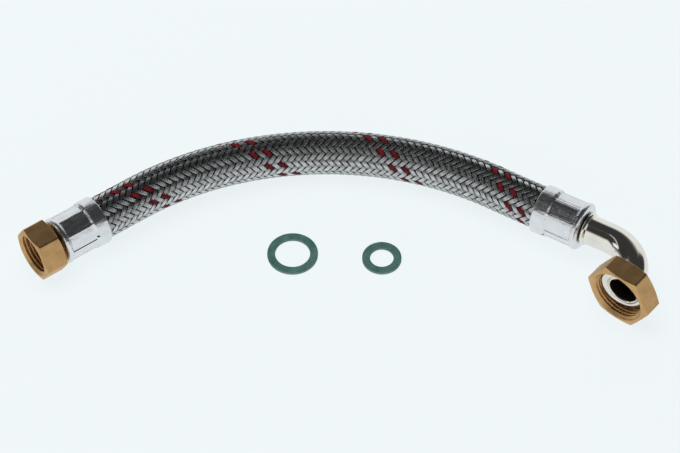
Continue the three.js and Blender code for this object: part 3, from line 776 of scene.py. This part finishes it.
def maths(tree, operation, *values):
    """A Math node's output. Each value is a number or the output of another node."""
    node = tree.nodes.new("ShaderNodeMath")
    node.operation = operation
    for socket, value in zip(node.inputs, values):
        if isinstance(value, (int, float)):
            socket.default_value = value
        else:
            tree.links.new(value, socket)
    return node.outputs[0]


def map_range(tree, value, low, high, from_low=0.0, from_high=1.0):
    """A value between from_low and from_high, laid between low and high."""
    node = tree.nodes.new("ShaderNodeMapRange")
    tree.links.new(value, node.inputs["Value"])
    sockets = ("From Min", "From Max", "To Min", "To Max")
    for socket, number in zip(sockets, (from_low, from_high, low, high)):
        node.inputs[socket].default_value = number
    return node.outputs["Result"]


def colour_ramp(tree, value, stops):
    node = tree.nodes.new("ShaderNodeValToRGB")
    elements = node.color_ramp.elements
    elements.remove(elements[0])
    for i, (at, colour) in enumerate(stops):
        element = elements[0] if i == 0 else elements.new(at)
        element.position = at
        element.color = (*colour, 1)
    tree.links.new(value, node.inputs["Fac"])
    return node.outputs["Color"]


class Paint:
    """A node material with its shader and short ways to add to it."""

    def __init__(self, name, colour, metallic, roughness):
        self.material = bpy.data.materials.new(name)
        self.material.use_nodes = True
        self.tree = self.material.node_tree
        self.shader = self.tree.nodes["Principled BSDF"]
        self.set("Base Color", (*colour, 1))
        self.set("Metallic", metallic)
        self.set("Roughness", roughness)

    def set(self, socket, value):
        self.shader.inputs[socket].default_value = value

    def drive(self, socket, output):
        self.link(output, self.shader.inputs[socket])

    def add(self, kind, **values):
        node = self.tree.nodes.new(kind)
        for key, value in values.items():
            if key in node.inputs:
                node.inputs[key].default_value = value
            else:
                setattr(node, key, value)
        return node

    def link(self, output, target):
        self.tree.links.new(output, target)

    def attribute(self, name, output):
        return self.add("ShaderNodeAttribute", attribute_name=name).outputs[output]

    def stretched(self, source, scale):
        node = self.add("ShaderNodeVectorMath", operation="MULTIPLY")
        self.link(source, node.inputs[0])
        node.inputs[1].default_value = scale
        return node.outputs[0]

    def place(self, across, along):
        """The surface place in millimetres, times one number across the piece's line and one along it."""
        return self.stretched(self.attribute("local", "Vector"), (across, across, along))

    def object_place(self, scale):
        """The place in the object in metres, times a number."""
        return self.stretched(self.add("ShaderNodeTexCoord").outputs["Object"], (scale, scale, scale))

    def noise(self, place, detail=3.0, roughness=0.55):
        node = self.add("ShaderNodeTexNoise", Scale=1.0, Detail=detail, Roughness=roughness)
        self.link(place, node.inputs["Vector"])
        return node.outputs["Fac"]

    def with_share(self, value, share, base):
        """base and a share of value, added up."""
        return maths(self.tree, "MULTIPLY_ADD", value, share, base)

    def ramp(self, value, stops):
        return colour_ramp(self.tree, value, stops)

    def range(self, value, low, high, from_low=0.0, from_high=1.0):
        return map_range(self.tree, value, low, high, from_low, from_high)

    def tint(self, value, low, high, stops):
        """Colours from stops, as a value goes from low to high."""
        return self.ramp(self.range(value, 0, 1, low, high), stops)

    def mix(self, share, colour, other):
        """A colour, and another where share is 1."""
        node = self.add("ShaderNodeMix", data_type="RGBA")
        self.link(share, node.inputs["Factor"])
        self.link(colour, node.inputs[6])
        node.inputs[7].default_value = (*other, 1)
        return node.outputs[2]

    def bump(self, heights):
        """Bumps from (height, strength, distance in millimetres), one on the other."""
        normal = None
        for height, strength, distance in heights:
            node = self.add("ShaderNodeBump", Strength=strength, Distance=distance * MM)
            self.link(height, node.inputs["Height"])
            if normal is not None:
                self.link(normal, node.inputs["Normal"])
            normal = node.outputs["Normal"]
        self.drive("Normal", normal)


# Materials


def steel_wire():
    """Wire with painted light and shade: bright on the floats and dark in the grooves and dips."""
    paint = Paint("steel_wire", (0.55, 0.56, 0.56), 1.0, 0.34)
    grime = paint.noise(paint.object_place(260), detail=4)
    # Painted shade: the strands' shade attribute, with random grime, sets the colour from near black in
    # dips and grooves to bright steel on the floats.
    shade = paint.with_share(grime, 0.5, paint.attribute("tone", "Fac"))
    paint.drive("Base Color", paint.tint(shade, 0.0, 1.5, [
        (0.0, (0.05, 0.051, 0.053)), (0.32, (0.24, 0.244, 0.248)),
        (0.6, (0.56, 0.568, 0.57)), (1.0, (0.84, 0.845, 0.84)),
    ]))
    fine = paint.noise(paint.object_place(900), detail=2)
    paint.drive("Roughness", paint.range(fine, 0.18, 0.36))
    return paint.material


def red_thread():
    paint = Paint("red_thread", (0.16, 0.007, 0.014), 0.0, 0.5)
    paint.set("Specular IOR Level", 0.3)
    grain = paint.noise(paint.object_place(700), detail=3)
    # Painted shade: the strands' shade attribute, with random grain, darkens the red in the dips and
    # grooves.
    shade = paint.with_share(grain, 0.6, paint.attribute("tone", "Fac"))
    paint.drive("Base Color", paint.tint(shade, 0.0, 1.6, [
        (0.0, (0.008, 0.001, 0.002)), (0.45, (0.07, 0.003, 0.007)),
        (0.8, (0.19, 0.007, 0.015)), (1.0, (0.24, 0.01, 0.02)),
    ]))
    return paint.material


def black_rubber():
    paint = Paint("black_rubber", (0.02, 0.02, 0.021), 0.0, 0.75)
    grain = paint.noise(paint.place(0.8, 0.8), detail=4)
    paint.drive("Base Color", paint.ramp(grain, [(0.3, (0.012, 0.012, 0.013)), (0.7, (0.03, 0.03, 0.031))]))
    paint.bump([(grain, 0.3, 0.1)])
    return paint.material


def pressed_metal():
    """Bright aluminium with fine lines along it and small dents from the press."""
    paint = Paint("pressed_metal", (0.74, 0.75, 0.77), 1.0, 0.24)
    streaks = paint.noise(paint.place(1.7, 0.16), detail=5, roughness=0.6)
    smear = paint.noise(paint.place(0.4, 0.2), detail=4)
    paint.drive("Base Color", paint.tint(paint.with_share(streaks, 0.8, smear), 0.55, 1.2, [
        (0.0, (0.68, 0.69, 0.71)), (0.5, (0.76, 0.77, 0.79)), (1.0, (0.83, 0.84, 0.855)),
    ]))
    paint.drive("Roughness", paint.range(streaks, 0.2, 0.4, 0.3, 0.7))
    dents = paint.noise(paint.place(0.4, 0.3), detail=1)
    folds = paint.noise(paint.place(0.8, 0.06), detail=1)
    fine = paint.noise(paint.place(1.7, 0.1), detail=1)
    paint.bump([(dents, 0.6, 0.3), (folds, 0.6, 0.14), (fine, 0.3, 0.02)])
    return paint.material


def nickel_plate():
    """Bright outside and on the face; dull in the bore, with painted shade making it dark."""
    paint = Paint("nickel_plate", (0.8, 0.77, 0.71), 1.0, 0.1)
    cloud = paint.noise(paint.place(0.12, 0.12), detail=3)
    outside = paint.ramp(cloud, [(0.3, (0.74, 0.7, 0.63)), (0.7, (0.84, 0.81, 0.755))])
    from_line = paint.add("ShaderNodeVectorMath", operation="LENGTH")
    paint.link(paint.place(1, 0), from_line.inputs[0])
    bore_edge = ELBOW_MOUTH_RADIUS - 0.02, ELBOW_MOUTH_RADIUS + 0.12
    # Painted shade: inside the mouth's radius the bore is coloured near black and made duller.
    bore_painted_dark = paint.range(from_line.outputs["Value"], 1, 0, *bore_edge)
    paint.drive("Base Color", paint.mix(bore_painted_dark, outside, (0.07, 0.06, 0.05)))
    grain = paint.noise(paint.place(1.6, 0.3), detail=4)
    paint.drive("Roughness", paint.with_share(bore_painted_dark, 0.4, paint.range(grain, 0.06, 0.16)))
    wave = paint.noise(paint.place(0.2, 0.08), detail=1)
    paint.bump([(wave, 0.3, 0.3), (grain, 0.12, 0.02)])
    return paint.material


def nut_brass():
    """Hexagon bar: drawn lines along it, turned rings on its faces, a little tarnish."""
    light, dark = (0.76, 0.48, 0.22), (0.46, 0.27, 0.11)
    paint = Paint("nut_brass", light, 1.0, 0.36)
    drawn = paint.noise(paint.place(2.6, 0.1), detail=5, roughness=0.6)
    cloud = paint.noise(paint.place(0.16, 0.16), detail=4, roughness=0.6)
    tarnish = paint.with_share(drawn, 0.45, cloud)
    paint.drive("Base Color", paint.tint(tarnish, 0.4, 1.05, [(0.0, dark), (1.0, light)]))
    paint.drive("Roughness", paint.range(cloud, 0.38, 0.54))
    rings = paint.noise(paint.place(0.25, 3.0), detail=3)
    paint.bump([(drawn, 0.22, 0.06), (rings, 0.12, 0.03)])
    return paint.material


def gasket_fibre():
    """Flecked green sheet, with painted light making its cut edges paler."""
    paint = Paint("gasket_fibre", (0.055, 0.138, 0.11), 0.0, 0.78)
    fleck = paint.noise(paint.place(2.4, 2.4), detail=6, roughness=0.7)
    cloud = paint.noise(paint.place(0.3, 0.3), detail=3)
    face = paint.tint(paint.with_share(fleck, 0.7, cloud), 0.5, 1.2, [
        (0.0, (0.035, 0.098, 0.084)), (0.5, (0.062, 0.15, 0.128)), (1.0, (0.105, 0.215, 0.19)),
    ])
    normal = paint.add("ShaderNodeSeparateXYZ")
    paint.link(paint.add("ShaderNodeNewGeometry").outputs["True Normal"], normal.inputs[0])
    # Painted light: upright faces, the cut edges, are coloured paler.
    painted_edge_light = paint.range(normal.outputs["Z"], 0.8, 0.0, 0.2, 0.8)
    paint.drive("Base Color", paint.mix(painted_edge_light, face, (0.22, 0.34, 0.31)))
    paint.drive("Roughness", paint.range(fleck, 0.62, 0.88))
    paint.bump([(fleck, 0.5, 0.06)])
    return paint.material


# Camera, floor and light


def add_camera():
    camera = bpy.data.cameras.new("camera")
    camera.sensor_width = SENSOR_WIDTH
    camera.lens = CAMERA_FOCAL / PHOTO_WIDTH * SENSOR_WIDTH
    camera.clip_start, camera.clip_end = CAMERA_CLIP
    e = math.radians(CAMERA_ELEVATION)
    holder = bpy.data.objects.new("camera", camera)
    back = np.array([0, -math.cos(e), math.sin(e)])
    holder.location = ((np.array(CAMERA_TARGET) + back * CAMERA_DISTANCE) * MM).tolist()
    holder.rotation_euler = (math.pi / 2 - e, 0, 0)
    bpy.context.scene.collection.objects.link(holder)
    bpy.context.scene.camera = holder


def seen_direct(tree):
    """1 for rays from the camera and for mirrored and refracted ones, 0 for the light's own."""
    path = tree.nodes.new("ShaderNodeLightPath")
    seen = maths(tree, "MAXIMUM", path.outputs["Is Camera Ray"], path.outputs["Is Glossy Ray"])
    return maths(tree, "MAXIMUM", seen, path.outputs["Is Transmission Ray"])


def add_floor():
    """A pale floor that keeps a soft shadow and looks nearly white."""
    mesh = bpy.data.meshes.new("floor")
    corners = [(x * FLOOR_REACH, y * FLOOR_REACH, 0) for x, y in ((-1, -1), (1, -1), (1, 1), (-1, 1))]
    mesh.from_pydata(corners, [], [(0, 1, 2, 3)])
    floor = bpy.data.objects.new("floor", mesh)
    bpy.context.scene.collection.objects.link(floor)
    material = bpy.data.materials.new("floor")
    material.use_nodes = True
    tree = material.node_tree
    tree.nodes.clear()
    matt = tree.nodes.new("ShaderNodeBsdfDiffuse")
    matt.inputs["Color"].default_value = (*FLOOR_COLOUR, 1)
    glow = tree.nodes.new("ShaderNodeEmission")
    glow.inputs["Color"].default_value = (*FLOOR_GLOW, 1)
    mix = tree.nodes.new("ShaderNodeMixShader")
    tree.links.new(maths(tree, "MULTIPLY", seen_direct(tree), GLOW_SHARE), mix.inputs[0])
    tree.links.new(matt.outputs[0], mix.inputs[1])
    tree.links.new(glow.outputs[0], mix.inputs[2])
    out = tree.nodes.new("ShaderNodeOutputMaterial")
    tree.links.new(mix.outputs[0], out.inputs["Surface"])
    mesh.materials.append(material)


def add_world():
    """A dark room with a bright wall behind the object and another behind the camera."""
    world = bpy.data.worlds.new("studio")
    bpy.context.scene.world = world
    world.use_nodes = True
    tree = world.node_tree
    tree.nodes.clear()
    split = tree.nodes.new("ShaderNodeSeparateXYZ")
    tree.links.new(tree.nodes.new("ShaderNodeTexCoord").outputs["Generated"], split.inputs[0])
    height = split.outputs["Z"]

    # How far back a direction goes, without its height. The root stays over 0 straight up.
    level = maths(tree, "SQRT", maths(tree, "SUBTRACT", 1.0001, maths(tree, "MULTIPLY", height, height)))
    back = maths(tree, "MULTIPLY_ADD", maths(tree, "DIVIDE", split.outputs["Y"], level), 0.5, 0.5)
    top = colour_ramp(tree, back, [(at, (wall, wall, wall)) for at, wall in WALL_TOPS])
    below = maths(tree, "SUBTRACT", top, height)
    bright = map_range(tree, below, ROOM_DARK, WALL_BRIGHT, -WALL_EDGE, WALL_EDGE)
    bright.node.interpolation_type = "SMOOTHSTEP"
    room = tree.nodes.new("ShaderNodeBackground")
    room.inputs["Color"].default_value = (*ROOM_COLOUR, 1)
    tree.links.new(bright, room.inputs["Strength"])
    out = tree.nodes.new("ShaderNodeOutputWorld")
    tree.links.new(room.outputs[0], out.inputs["Surface"])


def add_lamp(name, place, size, power, seen_in_metal):
    """A lamp that faces the middle of the ground."""
    data = bpy.data.lights.new(name, "AREA")
    data.shape = "RECTANGLE"
    data.size, data.size_y = size
    data.energy = power
    lamp = bpy.data.objects.new(name, data)
    lamp.location = place
    lamp.rotation_euler = Vector(place).to_track_quat("Z", "Y").to_euler()
    lamp.visible_glossy = seen_in_metal
    bpy.context.scene.collection.objects.link(lamp)


# The object


def add_hose():
    """The braid and the rubber tube inside it."""
    main, rising, tracers = add_braid(steel_wire(), red_thread())
    path = Hose.point(np.linspace(0, Hose.length, 60)) * MM
    add_tube(black_rubber())


def add_straight_end(metal, brass):
    """Ferrule, tail and nut of the half-inch end, on one straight line."""
    axis = direction(HEADING_HALF_INCH + 180)
    line = straight_line(Hose.point(0.0), axis)
    add_ferrule("ferrule_straight_pressed", line, "ferrule_straight", STRAIGHT_FERRULE, metal)
    add_straight_tail(line, brass)
    face = line(straight_mouth() + HALF_INCH["face"])[0]
    add_nut(
        "nut_half_inch_brass", straight_line(face, axis), HALF_INCH, STRAIGHT_NECK_RADIUS,
        "nut_half_inch", "half_inch_nut", brass,
    )


def add_elbow_end(metal, brass):
    """Ferrule, bent tail and leaning nut of the three-quarter-inch end."""
    outlet = direction(HEADING_ELBOW - 90)
    inlet = direction(HEADING_ELBOW, ELBOW_RISE)
    line, bend_start, bend_end = elbow_line(Hose.point(Hose.length), inlet, outlet)
    add_ferrule("ferrule_elbow_pressed", line, "ferrule_elbow", ELBOW_FERRULE, metal)
    add_elbow_tail(line, bend_start, bend_end, nickel_plate())
    leaning = direction(HEADING_ELBOW - 90 - THREE_QUARTER["rock"])
    face = line(bend_end + ELBOW_MOUTH_STRAIGHT)[0] + leaning * THREE_QUARTER["face"]
    add_nut(
        "nut_three_quarter_brass", straight_line(face, leaning), THREE_QUARTER, ELBOW_TUBE_RADIUS,
        "nut_three_quarter", "three_quarter_nut", brass,
    )


def build():
    bpy.context.scene.view_settings.view_transform = "Standard"
    add_camera()
    add_world()
    add_floor()
    for lamp in LAMPS:
        add_lamp(*lamp)
    add_hose()
    metal, brass, fibre = pressed_metal(), nut_brass(), gasket_fibre()
    add_straight_end(metal, brass)
    add_elbow_end(metal, brass)
    add_gasket("gasket_half_inch_fibre", "gasket_half_inch", HALF_INCH, fibre)
    add_gasket("gasket_three_quarter_fibre", "gasket_three_quarter", THREE_QUARTER, fibre)


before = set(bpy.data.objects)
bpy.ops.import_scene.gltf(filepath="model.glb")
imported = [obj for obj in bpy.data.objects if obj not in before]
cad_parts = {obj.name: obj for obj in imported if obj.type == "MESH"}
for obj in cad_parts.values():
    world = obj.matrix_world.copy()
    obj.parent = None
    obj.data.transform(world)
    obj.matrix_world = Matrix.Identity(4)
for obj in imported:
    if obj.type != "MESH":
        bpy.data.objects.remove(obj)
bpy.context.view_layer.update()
build()
